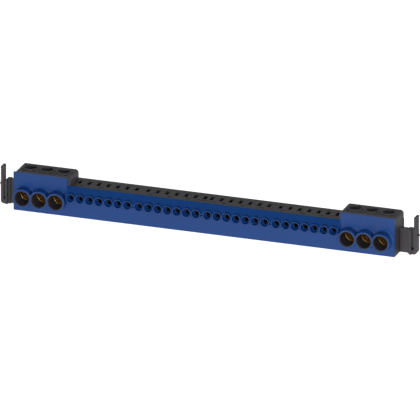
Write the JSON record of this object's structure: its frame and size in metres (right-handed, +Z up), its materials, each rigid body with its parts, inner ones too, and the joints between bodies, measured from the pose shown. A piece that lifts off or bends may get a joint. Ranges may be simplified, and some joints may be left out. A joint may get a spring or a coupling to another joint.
{
  "type": "neutral terminal strip",
  "caption": "Long blue and black terminal strip with round push-in wire ports in the middle, large screw clamps at both ends and springy end brackets.",
  "frame": {"origin": "on the plane of the flat underside, below the centre of the whole strip with its collars and brackets", "axes": "+X along the strip to the right as seen from the wire side, +Y to the back, +Z up to the driver holes"},
  "size_m": [0.2644, 0.0222, 0.0244],
  "materials": {
    "blue_polyamide": "fine satin moulded surface",
    "black_polyamide": "fine matt moulded surface",
    "brass": "drilled and tapped bright brass",
    "copper": "folded copper strip",
    "spring_steel": "rolled stainless strip",
    "zinc_steel": "zinc plated"
  },
  "bodies": {
    "strip": {"front_cover": "blue_polyamide", "housing": "black_polyamide", "rear_cover": "black_polyamide", "current_bar": "copper", "left_clamp_block": "brass", "right_clamp_block": "brass", "left_spring_01": "spring_steel", "right_spring_01": "spring_steel", "left_spring_02": "spring_steel", "right_spring_02": "spring_steel", "left_spring_03": "spring_steel", "right_spring_03": "spring_steel", "left_spring_04": "spring_steel", "right_spring_04": "spring_steel", "left_spring_05": "spring_steel", "right_spring_05": "spring_steel", "left_spring_06": "spring_steel", "right_spring_06": "spring_steel", "left_spring_07": "spring_steel", "right_spring_07": "spring_steel", "left_spring_08": "spring_steel", "right_spring_08": "spring_steel", "left_spring_09": "spring_steel", "right_spring_09": "spring_steel", "left_spring_10": "spring_steel", "right_spring_10": "spring_steel", "left_spring_11": "spring_steel", "right_spring_11": "spring_steel", "left_spring_12": "spring_steel", "right_spring_12": "spring_steel", "left_spring_13": "spring_steel", "right_spring_13": "spring_steel", "left_spring_14": "spring_steel", "right_spring_14": "spring_steel"},
    "left_clamp_screw_1": {"left_clamp_screw_1": "zinc_steel"},
    "right_clamp_screw_1": {"right_clamp_screw_1": "zinc_steel"},
    "left_clamp_screw_2": {"left_clamp_screw_2": "zinc_steel"},
    "right_clamp_screw_2": {"right_clamp_screw_2": "zinc_steel"},
    "left_clamp_screw_3": {"left_clamp_screw_3": "zinc_steel"},
    "right_clamp_screw_3": {"right_clamp_screw_3": "zinc_steel"}
  },
  "joints": [
    {"name": "left_clamp_screw_1_travel", "type": "slide", "parent": "strip", "child": "left_clamp_screw_1", "axis": [0, 0, -1], "range_m": [0, 0.0058]},
    {"name": "right_clamp_screw_1_travel", "type": "slide", "parent": "strip", "child": "right_clamp_screw_1", "axis": [0, 0, -1], "range_m": [0, 0.0058]},
    {"name": "left_clamp_screw_2_travel", "type": "slide", "parent": "strip", "child": "left_clamp_screw_2", "axis": [0, 0, -1], "range_m": [0, 0.0058]},
    {"name": "right_clamp_screw_2_travel", "type": "slide", "parent": "strip", "child": "right_clamp_screw_2", "axis": [0, 0, -1], "range_m": [0, 0.0058]},
    {"name": "left_clamp_screw_3_travel", "type": "slide", "parent": "strip", "child": "left_clamp_screw_3", "axis": [0, 0, -1], "range_m": [0, 0.0058]},
    {"name": "right_clamp_screw_3_travel", "type": "slide", "parent": "strip", "child": "right_clamp_screw_3", "axis": [0, 0, -1], "range_m": [0, 0.0058]}
  ]
}
